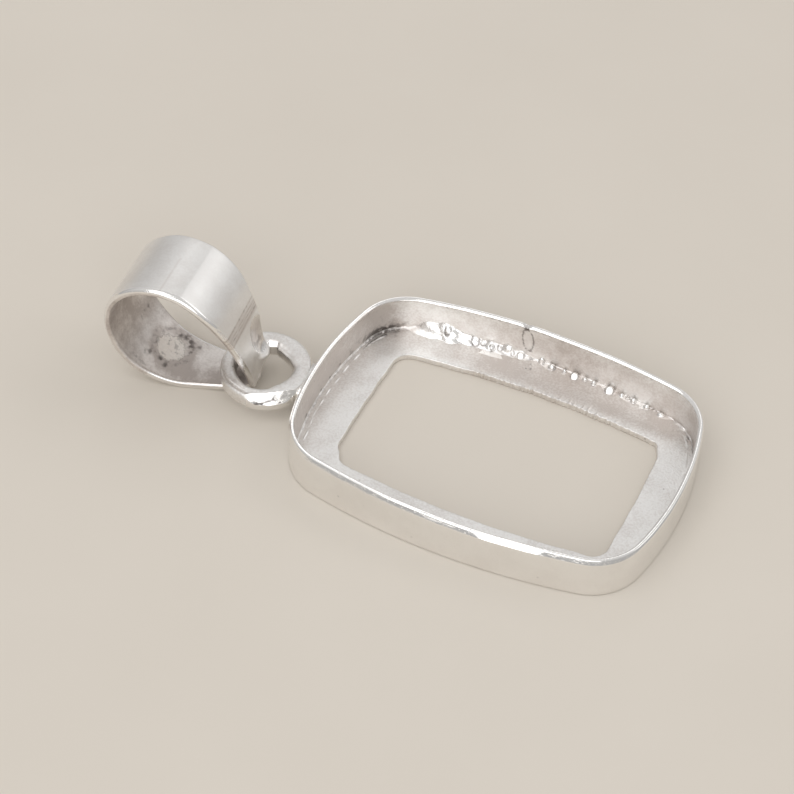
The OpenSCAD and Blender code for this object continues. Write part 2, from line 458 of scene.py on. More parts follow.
# %% Bowed outline
def quarter(half, bows, corner, counts):
    """The quarter from +X round to +Y: points and directions straight out."""
    long_y, short_x = half[1] - bows[0], half[0] - bows[1]
    span = math.hypot(short_x, long_y)
    toward = (short_x / span, -long_y / span)
    from_long, from_short = bows[0] - corner, bows[1] - corner
    reach = (from_long**2 - from_short**2 + span**2) / (2 * span)
    aside = math.sqrt(from_long**2 - reach**2)
    centre = (reach * toward[0] + aside * toward[1], long_y + reach * toward[1] - aside * toward[0])
    at_short = math.atan2(centre[1], centre[0] - short_x)
    at_long = math.atan2(centre[1] - long_y, centre[0])
    arcs = (
        ((short_x, 0.0), bows[1], np.linspace(0, at_short, counts[0], endpoint=False)),
        (centre, corner, np.linspace(at_short, at_long, counts[1], endpoint=False)),
        ((0.0, long_y), bows[0], np.linspace(at_long, math.pi / 2, counts[2] + 1)),
    )
    out = [np.stack([np.cos(a), np.sin(a)], -1) for _, _, a in arcs]
    line = [np.array(middle) + radius * n for (middle, radius, _), n in zip(arcs, out)]
    return np.concatenate(line), np.concatenate(out)


def outline(half, bows, corners, counts):
    """The whole line, anticlockwise from +X, with a corner radius for each quarter."""
    signs = ((1, 1), (-1, 1), (-1, -1), (1, -1))
    points, out = [], []
    for k, (sign, corner) in enumerate(zip(signs, corners)):
        line, away = quarter(half, bows, corner, counts)
        order = slice(None, -1) if k % 2 == 0 else slice(None, 0, -1)
        points.append((line * sign)[order])
        out.append((away * sign)[order])
    return np.concatenate(points), np.concatenate(out)


def lengths(points):
    """How far along the closed line each point is, and the whole length."""
    steps = np.linalg.norm(np.roll(points, -1, 0) - points, axis=1)
    return np.concatenate([[0], np.cumsum(steps)[:-1]]), steps.sum()


# points in a quarter: on half the short side, the corner and half the long side
ROUND = (60, 56, 190)
cup_line, cup_out = outline(HALF, BOWS, [CORNER] * 4, ROUND)
cup_along, cup_total = lengths(cup_line)
print("round the cup:", round(cup_total, 2), "mm in", len(cup_line), "points")

# %% [markdown]
# ## The wall
#
# The wall is a strip bent round and closed with solder on the far side. Its rim was
# rubbed on a flat stone and the outer edge was then taken down to a bevel, which is
# broader along part of the near side where the file dwelt. The profile is a list of
# steps in from the outside, made anew at each point of the outline because the bevel
# changes on the way round.

# %% Wall
FOOT_ROUND = 0.05
BEVEL = {"plain": (0.08, 0.10, 0.10), "near": (0.045, 0.135, -0.05)}
DWELT = {"span": (1.3, 2.6, 4.2, 5.4), "wider": 0.065, "higher": 0.03}
# the strip's joint leans: its X at the foot and at the rim, and its half width
SEAM_X = (-0.94, -1.23)
SEAM_WIDE = 0.2
# the dark ring round the solder in the joint: its height and its two reaches
SEAM_RING_UP, SEAM_RING = 1.44, (0.29, 0.70)
# dark specks inside the left wall: place across, height and size
LEFT_SPECKS = (
    (-2.16, 0.55, 0.11), (-0.24, 0.42, 0.12), (0.73, 0.42, 0.13), (1.66, 0.6, 0.12), (2.6, 0.45, 0.14),
)
DULL_PATCH = ((1.6, 1.2), (1.9, 1.2))
OUTER_SPECK = ((-6.61, 1.98), (0.07, 0.05))
# painted shade in the two far corners: strength, centre and reach in plan
CORNER_SOOT = ((1.3, (-8.35, 4.9), (1.0, 1.6)), (0.5, (8.5, 4.3), (0.8, 1.1)))


def bevel_at(x, y):
    """Width and height of the outer bevel and width of the inner one."""
    near = ease(-y, 3.0, 6.0)
    dwelt = near * between(x, *DWELT["span"])
    width, height, inner_width = (a + b * near for a, b in zip(BEVEL["plain"], BEVEL["near"]))
    width, height = width + DWELT["wider"] * dwelt, height + DWELT["higher"] * dwelt
    return width, height, inner_width + 0.06 * ease(y, 3.0, 6.0)


def wall_columns(width, height, inner_width):
    """Steps of the profile: how far in, how high, and which finish (0 outside,
    1 rim, 2 inside). width and height are the outer bevel's."""
    steps = [(WALL - 0.01, 0.02, 2), (WALL - 0.06, 0.0, 0), (FOOT_ROUND, 0.0, 0)]
    for a in np.linspace(0, math.pi / 2, 5)[1:]:
        steps.append((FOOT_ROUND * (1 - math.sin(a)), FOOT_ROUND * (1 - math.cos(a)), 0))
    for share in np.linspace(0, 1, 12)[1:]:
        steps.append((0.0, FOOT_ROUND + share * (WALL_HEIGHT - height - FOOT_ROUND), 0))
    for share in (0.06, 0.2, 0.5, 0.8, 0.94):
        belly = 0.004 * math.sin(math.pi * share)
        steps.append((width * share - belly, WALL_HEIGHT - height + height * share, 1))
    inner, fall = WALL - inner_width, 0.5 * inner_width
    for share in (0.1, 0.4, 0.7, 0.95):
        steps.append((width + (inner - width) * share, WALL_HEIGHT, 1))
    for share in (0.15, 0.4, 0.65, 0.85):
        steps.append((inner + (WALL - inner) * share, WALL_HEIGHT - fall * share**1.4, 1))
    steps.append((WALL - 0.003, WALL_HEIGHT - fall - 0.01, 1))
    for share in np.linspace(0, 1, 22)[1:] ** 1.4:
        steps.append((WALL, WALL_HEIGHT - 0.1 - share * (WALL_HEIGHT - 0.16), 2))
    return steps


profiles = [wall_columns(*bevels) for bevels in zip(*bevel_at(*cup_line.T))]
wall_in, wall_up, wall_finish = np.moveaxis(np.array(profiles), 2, 0)
x, y = cup_line[:, :1], cup_line[:, 1:]
level = wall_up / WALL_HEIGHT
sway = waves(cup_along, cup_total, 0.011, 3, 14, 1)[:, None] * level
dents = waves(cup_along, cup_total, 0.006, 18, 46, 2)[:, None] * np.sin(math.pi * level)
lift = waves(cup_along, cup_total, 0.010, 2, 9, 3)[:, None] * level**4
seam_middle = SEAM_X[0] + (SEAM_X[1] - SEAM_X[0]) * level
on_far = ease(y, 4.0, 6.0)
seam = on_far * hump(x, seam_middle, SEAM_WIDE)
notch = on_far * hump(x, SEAM_X[1], 0.14) * level**8
inside = (wall_in > WALL - 0.04) * 1.0
wall_in = wall_in + sway + dents + 0.02 * seam * inside - 0.012 * seam * (1 - inside)
wall_up = wall_up + lift - 0.06 * notch
wall_flat = cup_line[:, None, :] - cup_out[:, None, :] * wall_in[..., None]
wall_points = np.concatenate([wall_flat + (CUP_X, 0), wall_up[..., None]], -1)
print("the rim rises and falls by", round(float(np.ptp(wall_up.max(axis=1))), 3), "mm")

# %% [markdown]
# ## Stains and painted shade on the wall
#
# The torch and the solder left their marks inside: a dark ring round the joint and a
# few specks. The left inner wall and the far corners low down are painted duller and
# darker as shade. Each is a soft mask on the mesh's points. The materials read the
# masks by name and break up their edges with noise, so a short table is enough to
# place them.

# %% Wall marks
seam_round = np.hypot((x - seam_middle) / SEAM_RING[0], (wall_up - SEAM_RING_UP) / SEAM_RING[1])
seam_edge = on_far * inside * hump(seam_round, 0.97, 0.2)
under_rim = on_far * inside * hump(wall_up, WALL_HEIGHT - 0.13, 0.05)
# painted shade: the whole left inner wall is made duller and a little darker
left_wall = ease(-x, 7.0, 8.8) * inside
dull_patch = on_far * inside * spot(x, wall_up, *DULL_PATCH)
speck = specks(y, wall_up, LEFT_SPECKS, 1.3) * (x < -8) * inside
foot_soot = 0.4 * inside * hump(wall_up, PLATE, 0.16)
# painted shade low in the far corners, made duller and darker
corner_soot = inside * spots(x, y, CORNER_SOOT) * hump(wall_up, 0.45, 0.34)
outer_speck = spot(x, wall_up, *OUTER_SPECK) * (y < -5) * (1 - inside)
wall_dark = 0.8 * (speck + seam_edge) + 0.5 * outer_speck + 0.85 * corner_soot
wall_dark = wall_dark + 0.12 * left_wall + 0.45 * under_rim
wall_marks = {
    "stain": 0.9 * left_wall + 0.25 * seam + foot_soot + 0.55 * dull_patch + 0.8 * corner_soot,
    "dark": np.clip(wall_dark, 0, 1),
    "bright": 0.5 * seam * inside,
}
bezel_wall = make_piece(
    "bezel_wall", wall_points, grid_faces(*wall_up.shape, True, True),
    [BUFFED, POLISHED, WALL_SATIN], wall_finish, wall_marks,
)

# %% [markdown]
# ## The back plate
#
# The stone rests on this ledge. The plate was cut to fit inside the wall and its
# middle sawn out by eye, so the window's edge wavers a little, has two nicks at its
# corners and is softened where a file broke the burr. Both lines are drawn with the
# same number of points in every arc, so the ledge is a simple band between them.

# %% Back plate
EDGE_SOFT = 0.05
# slips of the saw: metal left or, below zero, taken, with the centre and the reach
SAW_SLIPS = (
    (-0.04, (6.35, -3.95), (0.22, 0.22)), (-0.12, (6.59, 3.79), (0.22, 0.22)),
    (-0.035, (0.03, 4.43), (0.22, 0.22)), (-0.03, (0.51, 4.43), (0.22, 0.22)),
    (0.18, (-6.75, -3.5), (0.45, 0.5)),
)
# dark marks on the ledge: strength, centre and reach
LEDGE_MARKS = (
    (0.45, (8.36, 3.91), (0.16, 0.3)), (0.3, (-7.6, 4.9), (0.3, 0.2)),
    (0.8, (-0.75, 6.02), (0.10, 0.14)), (0.7, (-0.60, 5.74), (0.09, 0.12)),
)
window_line, window_out = outline(WINDOW_HALF, WINDOW_BOWS, WINDOW_CORNERS, ROUND)
window_along, window_total = lengths(window_line)
window_line = window_line + np.array(WINDOW_SHIFT)
window_x, window_y = window_line.T
rough_stretch = ease(window_y, 4.0, 4.3) * ease(window_x, -4.0, -2.0)
sawn = waves(window_along, window_total, 0.016, 5, 30, 4)
sawn = sawn + waves(window_along, window_total, 0.006, 60, 160, 5)
sawn = sawn + waves(window_along, window_total, 0.018, 130, 250, 19) * rough_stretch
sawn = sawn + spots(window_x, window_y, SAW_SLIPS)
burr = np.clip(waves(cup_along, cup_total, 0.035, 60, 210, 20), 0, 0.06) * rough_stretch
inner_wall_line = cup_line - cup_out * (WALL - 0.02)
plate_rows, plate_parts = [], []


def plate_row(share, inset, height, part):
    """share runs from the window's edge, 0, to the wall, 1."""
    near = window_line - window_out * (sawn - inset)[:, None]
    place = near + (inner_wall_line - near) * share
    ripple = waves(cup_along, cup_total, 0.006, 6, 24, 6) * math.sin(math.pi * share)
    ripple = ripple + burr * math.exp(-((share / 0.08) ** 2))
    plate_rows.append(np.column_stack([place, height + ripple * (height > PLATE / 2)]))
    plate_parts.append(part)


for share in (0.985, 0.75, 0.5, 0.25, 0.05):
    plate_row(share, EDGE_SOFT, 0.0, 0)
for a in np.linspace(0, math.pi / 2, 5)[:-1]:
    plate_row(0, EDGE_SOFT * (1 - math.sin(a)), EDGE_SOFT * (1 - math.cos(a)), 1)
for height in np.linspace(EDGE_SOFT, PLATE - EDGE_SOFT, 4)[:-1]:
    plate_row(0, 0.0, height, 1)
for a in np.linspace(0, math.pi / 2, 5)[:-1]:
    plate_row(0, EDGE_SOFT * (1 - math.cos(a)), PLATE - EDGE_SOFT * (1 - math.sin(a)), 1)
for share in np.linspace(0.0, 0.99, 18):
    plate_row(share, EDGE_SOFT, PLATE, 0)
plate_row(1.0, EDGE_SOFT, PLATE - 0.03, 0)
plate_row(1.0, EDGE_SOFT, 0.03, 0)
plate_points = np.stack(plate_rows, 1)
plate_x, plate_y = plate_points[..., 0], plate_points[..., 1]
stain_spread = 0.3 + 0.5 * ease(plate_x, -6.5, -1.5)
plate_marks = {
    "stain": ease(plate_y, 4.0, 4.9) * stain_spread + 0.1 * ease(-plate_x, 7.2, 8.6),
    "dark": spots(plate_x, plate_y, LEDGE_MARKS),
}
rows, columns = plate_x.shape
back_plate = make_piece(
    "back_plate", plate_points + (CUP_X, 0, 0), grid_faces(rows, columns, True, True),
    [SATIN, SAWN], np.tile(plate_parts, rows), plate_marks,
)

# %% [markdown]
# ## Solder round the foot of the wall
#
# Solder runs into the corner between wall and back and draws itself up into a hollow
# fillet. On the far side to the left it stands as a thick lumpy puddle. At both ends
# it left a thin broken ridge a little way in. It is one strip of height that runs
# round the foot, so a few waves along it are enough for all of that.

# %% Solder fillet
# the columns past the widest fillet run on below the plate's face
BURIED = (0.75, 0.9, 1.05)
RIDGE_HIGH = 0.035
foot_line, foot_out = outline(HALF, BOWS, [CORNER] * 4, (60, 60, 210))
foot_along, foot_total = lengths(foot_line)


def foot_waves(size, slowest, quickest, seed):
    """Waves round the foot of the wall, one value for each row of the strip."""
    return waves(foot_along, foot_total, size, slowest, quickest, seed)[:, None]


reach_in = np.concatenate([[-0.05], np.linspace(0, 0.66, 30), BURIED])
foot_x, foot_y = foot_line[:, :1], foot_line[:, 1:]
far = ease(foot_y, 4.2, 5.6)
ends = ease(np.abs(foot_x), 7.4, 8.4)
puddle = far * between(foot_x, -7.2, -6.2, -2.2, -1.0) * (1 - 0.45 * ease(foot_x, -4.9, -4.2))
fillet_high = 0.10 + far * (0.05 - 0.11 * ease(foot_x, -1.0, 0.6))
fillet_high = fillet_high + foot_waves(0.05, 12, 70, 7) * (0.3 + far * ease(-foot_x, -1.0, 1.0))
fillet_high = fillet_high + (0.46 + foot_waves(0.09, 10, 36, 15)) * puddle
fillet_wide = 0.22 + 0.12 * far - 0.14 * ends + foot_waves(0.05, 10, 70, 8)
fillet_wide = np.clip(fillet_wide + 0.14 * puddle, 0.08, 0.62)
part_in = np.clip(1 - np.clip(reach_in, 0, None) / fillet_wide, 0, 1)
hollow = scooped(part_in)
solder_height = np.clip(fillet_high, 0.02, 1) * (hollow + (part_in - hollow) * 0.9 * puddle)
ridge_at = 0.27 + foot_waves(0.03, 6, 30, 9)
ridge_broken = np.clip(0.6 + foot_waves(0.6, 20, 70, 16), 0, 1)
ridge = RIDGE_HIGH * ends * ridge_broken * hump(reach_in, ridge_at, 0.05)
solder_height = solder_height + ridge * (1 + foot_waves(0.3, 20, 80, 10))
solder_flat = foot_line[:, None, :] - foot_out[:, None, :] * (WALL + reach_in)[None, :, None]
solder_x, solder_y = solder_flat[..., 0], solder_flat[..., 1]
ran = far * np.clip(4 * part_in, 0, 1) * (0.5 + 0.5 * puddle)
solder_height = solder_height + ran * lumpy(solder_x, 1.6 * solder_y, 0.022, 17, 0.36, 1.2)
print("the puddle is up to", round(float(solder_height.max()), 2), "mm high")

# %% [markdown]
# ## Beads and pits
#
# Along the far side small beads of solder stand in a row, and a few were pressed flat
# and catch the light. Each is a dome on the strip, a row of a table with its place,
# reach and height. The shallow rings between them are pits that bubbles left. The
# beads could be separate balls, but then they would look dropped in, not melted on.

# %% Solder beads
# place along X and Y from the cup's middle, reach along and across, and height
BEADS = (
    (-6.10, 5.80, 0.50, 0.22, 0.13), (-5.10, 5.98, 0.62, 0.26, 0.16), (-4.10, 6.05, 0.48, 0.24, 0.15),
    (-2.94, 6.14, 0.26, 0.20, 0.20), (-2.08, 6.30, 0.22, 0.16, 0.30), (-1.36, 6.29, 0.20, 0.20, 0.24),
    (-0.30, 6.40, 0.16, 0.12, 0.30), (0.31, 6.26, 0.20, 0.18, 0.24), (0.95, 6.30, 0.10, 0.10, 0.16),
    (1.52, 6.20, 0.22, 0.22, 0.26), (2.06, 6.22, 0.12, 0.12, 0.18), (2.53, 6.19, 0.13, 0.13, 0.20),
    (3.40, 6.08, 0.24, 0.24, 0.28), (4.05, 6.06, 0.12, 0.12, 0.14), (4.69, 5.95, 0.15, 0.14, 0.20),
    (5.41, 5.85, 0.16, 0.14, 0.20), (6.20, 5.70, 0.18, 0.14, 0.14),
)
# these beads were pressed flat on the side that faces in and up: the facet's height
# over the middle, in reaches, and its slopes along X and Y
FLATTENED = (-1.36, 1.52, 3.40)
FACET_HIGH, FACET_SLOPE = 1.26, (-0.33, 1.21)
# shallow rings left by bubbles: place and size
PITS = (
    (-5.10, 5.87, 0.17), (-3.72, 6.12, 0.20), (-3.30, 6.18, 0.13), (-2.80, 6.10, 0.12),
    (-2.43, 6.24, 0.12), (-1.75, 6.22, 0.10), (-0.75, 6.20, 0.12), (0.55, 6.20, 0.10),
    (2.30, 6.18, 0.09), (4.35, 6.02, 0.10), (5.80, 5.80, 0.13),
)
# painted shade in the two far corners on the solder: centre and reach in plan
SMUDGES = {"left": ((-8.1, 4.75), (1.0, 1.5)), "right": ((8.2, 4.4), (0.9, 1.0))}
SCRIBBLE = ((-0.75, 6.05), (0.12, 0.15))
bead_mask = np.zeros(solder_x.shape)
for bead_x, bead_y, along, across, high in BEADS:
    aside, inward = solder_x - bead_x, solder_y - bead_y
    far_out = (aside / along) ** 2 + (inward / across) ** 2
    dome = high * np.sqrt(np.clip(1 - far_out, 0, 1))
    if bead_x in FLATTENED:
        facet = FACET_HIGH * along + FACET_SLOPE[0] * aside + FACET_SLOPE[1] * inward
        dome = np.minimum(dome, np.clip(facet, 0, None))
    solder_height = np.maximum(solder_height, dome) + 0.25 * np.minimum(solder_height, dome)
    bead_mask = np.maximum(bead_mask, np.clip(1.4 - far_out, 0, 1))
pit_mask = np.zeros(solder_x.shape)
for pit_x, pit_y, pit_size in PITS:
    from_pit = np.hypot(solder_x - pit_x, solder_y - pit_y)
    pit_mask = np.maximum(pit_mask, hump(from_pit, pit_size, 0.3 * pit_size))
solder_height = solder_height - 0.035 * pit_mask
solder_height[:, -len(BURIED):] = -0.02
# two more columns close the strip underneath, inside the plate
closed_x, closed_y = (np.hstack([v, v[:, [-1, 0]]]) for v in (solder_x, solder_y))
closed_up = np.pad(PLATE + solder_height - 0.006, ((0, 0), (0, 2)), constant_values=PLATE - 0.1)
solder_points = np.stack([closed_x + CUP_X, closed_y, closed_up], -1)
# painted shade along the crease at the foot of the wall, at both ends
crevice = ends * hump(reach_in, 0.10, 0.08)
# painted shade in the far corners, close to the wall
smudge = spot(solder_x, solder_y, *SMUDGES["left"]) * hump(reach_in, 0.15, 0.26)
smudge = smudge + 0.6 * spot(solder_x, solder_y, *SMUDGES["right"]) * hump(reach_in, 0.15, 0.16)
scribble = spot(solder_x, solder_y, *SCRIBBLE)
solder_marks = {
    "stain": 0.35 * (1 - bead_mask) * (1 - puddle) * far,
    "dark": np.clip(0.8 * pit_mask + 0.6 * crevice + 0.8 * smudge + 0.9 * scribble, 0, 1),
    # painted highlights: the beads, the puddle and the ridge are made clean and bright
    "bright": np.clip(bead_mask + puddle + 0.9 * ridge / RIDGE_HIGH, 0, 1),
}
solder_marks = {name: np.pad(values, ((0, 0), (0, 2))) for name, values in solder_marks.items()}
rows, columns = closed_up.shape
base_solder = make_piece(
    "base_solder", solder_points, grid_faces(rows, columns, True, True), [SOLDER, SATIN],
    np.repeat(ends[:, 0] > 0.5, columns), solder_marks,
)

# %% [markdown]
# ## The jump ring
#
# The ring is heavy flattened wire with rounded edges, carried round a circle. Solder
# ran round the inside of its right half and made it thicker there. A slanting face
# was filed on its front, with a short groove under the top edge, and a small flat
# inside where its ends meet. Each flat takes off what stands proud of a plane.

# %% Jump ring
RING_COUNT = (360, 80)
RING_HALF = 0.52 * RING_WIDTH
# the face filed on the front: its slope in degrees, how far out from the section's
# middle it lies, and the turn where it cuts deepest with its reach in radians
FRONT_SLOPE, FRONT_OUT, FRONT_AT, FRONT_REACH = 37, 0.315, 303, 0.60
GROOVE_AT, GROOVE_DEEP = 242, 0.09
# the flat filed inside where the ring's two ends meet
FLAT_SLOPE, FLAT_OUT, FLAT_SPAN = math.radians(43), 0.548, (93, 95, 110, 118)
# how far solder thickens the ring inward: turn in degrees, and millimetres
SWOLLEN = (
    (285, 0.0), (300, 0.05), (318, 0.23), (332, 0.26), (348, 0.20), (365, 0.16), (385, 0.18),
    (405, 0.28), (425, 0.33), (440, 0.30), (450, 0.27), (455, 0.15), (475, 0.13), (490, 0.0),
)


def pillow_section(half_width, half_height, fullness, count):
    """Out and up round a section: an ellipse at fullness 2, and squarer above that."""
    turns = np.linspace(0, 2 * math.pi, count, endpoint=False)[None, :]
    c, s = np.cos(turns), np.sin(turns)
    size = (np.abs(c) ** fullness + np.abs(s) ** fullness) ** (-1 / fullness)
    return half_width * size * c, half_height * size * s


def ring_place(turn, out, up):
    """From round, out and up on the ring to millimetres on the part."""
    x = (RING_RADIUS + out) * np.cos(turn)
    y = (RING_RADIUS + out) * np.sin(turn)
    high = y * math.sin(RING_TILT) + up * math.cos(RING_TILT)
    y = y * math.cos(RING_TILT) - up * math.sin(RING_TILT)
    return np.stack([x + RING_AT[0] + CUP_X, y + RING_AT[1], high + RING_AT[2]], -1)


turns = np.linspace(0, 2 * math.pi, RING_COUNT[0], endpoint=False)[:, None]
degrees = np.degrees(turns)
section_out, section_up = pillow_section(RING_HALF, 0.5 * RING_HEIGHT, 2.9, RING_COUNT[1])
filed_front = np.exp(-(((turns - math.radians(FRONT_AT)) / FRONT_REACH) ** 4))
slope = np.radians(FRONT_SLOPE + 3.5 * np.cos(7 * turns + 0.6))
front_proud = section_out * np.cos(slope) + section_up * np.sin(slope)
front_proud = np.clip(front_proud - FRONT_OUT - 0.25 * (1 - filed_front), 0, None)
section_out = section_out - front_proud * np.cos(slope)
section_up = section_up - front_proud * np.sin(slope)
round_section = np.arctan2(section_up, section_out)
worn = waves(turns, 2 * math.pi, 0.010, 2, 9, 11)
groove_span = ease(np.cos(turns - math.radians(GROOVE_AT)), math.cos(0.56), math.cos(0.35))
groove_high = np.radians(54 + 18 * ease(degrees, 215, 255))
groove = groove_span * hump(round_section, groove_high, 0.13)
knocked = between(degrees, 268, 280, 332, 346) * np.clip(np.cos(round_section - 0.4), 0, 1)
knocks = lumpy(RING_RADIUS * 1.2 * turns, 0.5 * round_section, 0.010, 21, 0.45, 1.1)
shrink = 1 + (worn + knocked * knocks - GROOVE_DEEP * groove) / 0.45
from_joint = np.where(degrees < 280, degrees + 360, degrees)
swollen = np.interp(from_joint, *zip(*SWOLLEN))
swollen = swollen + waves(turns, 2 * math.pi, 0.02, 5, 14, 18) * (swollen > 0.1)
swell = 1 + swollen / RING_HALF * (section_out < 0)
place_out, place_up = section_out * shrink * swell, section_up * shrink
facing = (-math.cos(FLAT_SLOPE), math.sin(FLAT_SLOPE))
proud = np.clip(place_out * facing[0] + place_up * facing[1] - FLAT_OUT, 0, None)
proud = proud * between(degrees, *FLAT_SPAN)
place_out, place_up = place_out - proud * facing[0], place_up - proud * facing[1]
print("the ring is thickest by", round(float(swollen.max()), 2), "mm of solder")

# %% [markdown]
# ## Bright and dull on the ring
#
# The front was buffed and mirrors, and it is dented where other work knocked it. The
# top and the left side stayed satin, because no wheel reached them past the bail. So
# each face takes one of two finishes. Point marks add painted dark reflections on the
# front, painted shade in the groove, a painted shadow inside the left part where the
# bail shades it, and a painted highlight on the filed flat.

# %% Ring finish
# painted dark reflections on the front: turn and height in degrees, and two reaches in radians
RING_DENTS = (
    (284, 14, 0.08, 0.14), (290, 18, 0.07, 0.14), (294, 30, 0.06, 0.2), (300, 40, 0.07, 0.2),
    (306, 52, 0.04, 0.2), (309, 36, 0.04, 0.2), (313, 15, 0.07, 0.14), (332, 28, 0.06, 0.16),
)
# painted shadow inside the ring's left part, where the bail shades it: its turn in degrees and reach in
# radians
SOOT_AT, SOOT_REACH = 200, 0.9
LEFT_SIDE = (186.5, 270.5)
on_top = (np.abs(round_section - math.pi / 2 - 0.2) < 0.75) & (front_proud < 0.01)
on_left = (degrees > LEFT_SIDE[0]) & (degrees < LEFT_SIDE[1])
on_left = on_left & (round_section > -0.5) & (round_section < 2)
filed_flat = np.clip(proud / 0.02, 0, 1)
ring_part = np.where((on_top | on_left) & (filed_flat < 0.5), 0, 1)
dented = np.zeros(RING_COUNT)
for turn, up, turn_reach, up_reach in RING_DENTS:
    dented += hump(turns, math.radians(turn), turn_reach) * hump(round_section, math.radians(up), up_reach)
# painted shadow on the inner face of the ring's left part
soot = np.exp(-(((turns - math.radians(SOOT_AT)) / SOOT_REACH) ** 4)) * ease(-section_out, 0.25, 0.36)
# painted shade makes the groove duller and darker, and the filed flat gets a painted highlight
ring_marks = {
    "stain": 0.1 + 0.4 * groove,
    "dark": np.clip(0.35 * groove + dented + 0.9 * soot, 0, 1),
    "bright": filed_flat,
}
jump_ring = make_piece(
    "jump_ring", ring_place(turns, place_out, place_up), grid_faces(*RING_COUNT, True, True),
    [SATIN, POLISHED], ring_part, ring_marks,
)

# %% [markdown]
# ## Solder between ring and wall
#
# Molten solder climbs both ways, so the joint is narrow in the middle and flares
# where it wets the wall and the ring. Seen from above, its two sides are arcs that
# just touch the ring and the wall. It is a tube along X that keeps to those arcs, a
# little lumpy so that it doesn't look turned on a lathe.

# %% Ring solder
HOLLOWS = {"far": 0.35, "near": 0.25}
RING_OUTER = RING_RADIUS + RING_WIDTH / 2
NECK_COUNT = (60, 160)
NECK_FULLNESS = 3.0
# along X from the ring's middle, where each flare starts and how far it reaches
WALL_FLARE, RING_FLARE = (2.42, 0.3), (1.95, 0.32)


def crossing(a, radius_a, b, radius_b):
    """Where two circles cross, to the right of the way from a to b."""
    a, b = np.array(a), np.array(b)
    span = np.linalg.norm(b - a)
    toward = (b - a) / span
    along = (radius_a**2 - radius_b**2 + span**2) / (2 * span)
    aside = math.sqrt(radius_a**2 - along**2)
    return a + along * toward + aside * np.array([toward[1], -toward[0]])


def cap(loop, tip):
    """Triangles from a closed loop of points to one point, as faces of four."""
    tips = np.full_like(loop, tip)
    return np.stack([loop, np.roll(loop, -1), tips, tips], -1)


# everything here is in plan from the middle of the ring
side_middle = (BOWS[1] - HALF[0] - RING_AT[0], -RING_AT[1])
edges = {}
neck_x = np.linspace(2.5, 1.70, NECK_COUNT[0])[:, None]
for side, hollow in HOLLOWS.items():
    circles = [((0.0, 0.0), RING_OUTER + hollow), (side_middle, BOWS[1] + hollow)]
    if side == "far":
        circles.reverse()
    middle = crossing(*circles[0], *circles[1])
    aside = np.clip(np.abs(neck_x - middle[0]) / hollow, 0, 1)
    edges[side] = middle[1] - np.sign(middle[1]) * hollow * np.sqrt(1 - aside**2)
neck_middle = (edges["far"] + edges["near"]) / 2
neck_wide = (edges["far"] - edges["near"]) / 2
at_wall = scooped(1 - np.clip((WALL_FLARE[0] - neck_x) / WALL_FLARE[1], 0, 1))
at_ring = scooped(1 - np.clip((neck_x - RING_FLARE[0]) / RING_FLARE[1], 0, 1))
neck_high = 0.46 + 0.12 * at_wall - 0.05 * at_ring
neck_out, neck_up = pillow_section(1.0, 1.0, NECK_FULLNESS, NECK_COUNT[1])
neck_y = neck_middle + neck_wide * neck_out
lumps = lumpy(neck_x, neck_y, 0.02, 12, 0.5, 1.2)
neck_z = neck_high * neck_up * (1 + lumps) + neck_y * math.sin(RING_TILT)
neck_points = np.stack(np.broadcast_arrays(neck_x, neck_y, neck_z), -1)
neck_points = neck_points + (RING_AT[0] + CUP_X, RING_AT[1], RING_AT[2])
tips = neck_points[[0, -1]].mean(axis=1)
neck_points = np.concatenate([neck_points.reshape(-1, 3), tips])
rows, columns = NECK_COUNT
first_loop = np.arange(columns)
last_loop = (first_loop + (rows - 1) * columns)[::-1]
neck_faces = np.concatenate([
    grid_faces(rows, columns, False, True),
    cap(first_loop, rows * columns), cap(last_loop, rows * columns + 1),
])
ring_solder = make_piece(
    "ring_solder", neck_points, neck_faces, [SOLDER], None,
    {"bright": np.full(len(neck_points), 0.5)}, sharp=180,
)

# %% [markdown]
# ## The bail
#
# The bail is one leaf-shaped strip, widest in the middle, folded round until its two
# rounded tips meet and are soldered. Its line is six arcs end to end. Any place on it
# is given by how far along the strip it is, how far across and how deep, so that the
# taper, the tips, the rounded edges and a shallow scoop are all drawn on the flat
# strip and folded with it.

# %% Strip line
# the arcs of its line, from the lower tip up and over: radius, and turn in degrees
BENDS = ((18.9, 9.7), (3.93, 76.5), (2.87, 44.7), (3.03, 94.8), (3.85, 25.5), (10.0, 26.6))
# half its width in the middle and at the tips, the tips' radius and their lean
FULL_HALF = 2.06
TIP_HALF = 0.88
TIP_ROUND = 0.93
TIP_LEAN = 0.22
bend_start, bend_centre, bend_angle = [0.0], [], []
angle, centre = math.radians(-90 + BENDS[0][1]), np.array([0.0, BENDS[0][0]])
for k, (radius, turn) in enumerate(BENDS):
    if k:
        step = (BENDS[k - 1][0] - radius) * np.array([math.cos(angle), math.sin(angle)])
        centre = centre + step
    bend_centre.append(centre)
    bend_angle.append(angle)
    bend_start.append(bend_start[-1] + radius * math.radians(turn))
    angle -= math.radians(turn)
STRIP = bend_start[-1]
bend_radius = np.array([radius for radius, _ in BENDS])
bend_start, bend_centre, bend_angle = map(np.array, (bend_start, bend_centre, bend_angle))


def on_line(along):
    """Which arc each distance falls on, and the direction straight out there."""
    k = np.clip(np.searchsorted(bend_start, along, side="right") - 1, 0, len(BENDS) - 1)
    turned = bend_angle[k] - (along - bend_start[k]) / bend_radius[k]
    return k, turned


def on_strip(along, across, depth):
    """Millimetres on the part for a place on the strip."""
    k, turned = on_line(along)
    x = bend_centre[k, 0] + (bend_radius[k] - depth) * np.cos(turned)
    z = bend_centre[k, 1] + (bend_radius[k] - depth) * np.sin(turned)
    c, s = math.cos(BAIL_YAW), math.sin(BAIL_YAW)
    return np.stack([BAIL_AT[0] + x * c - across * s, BAIL_AT[1] + x * s + across * c, z], -1)


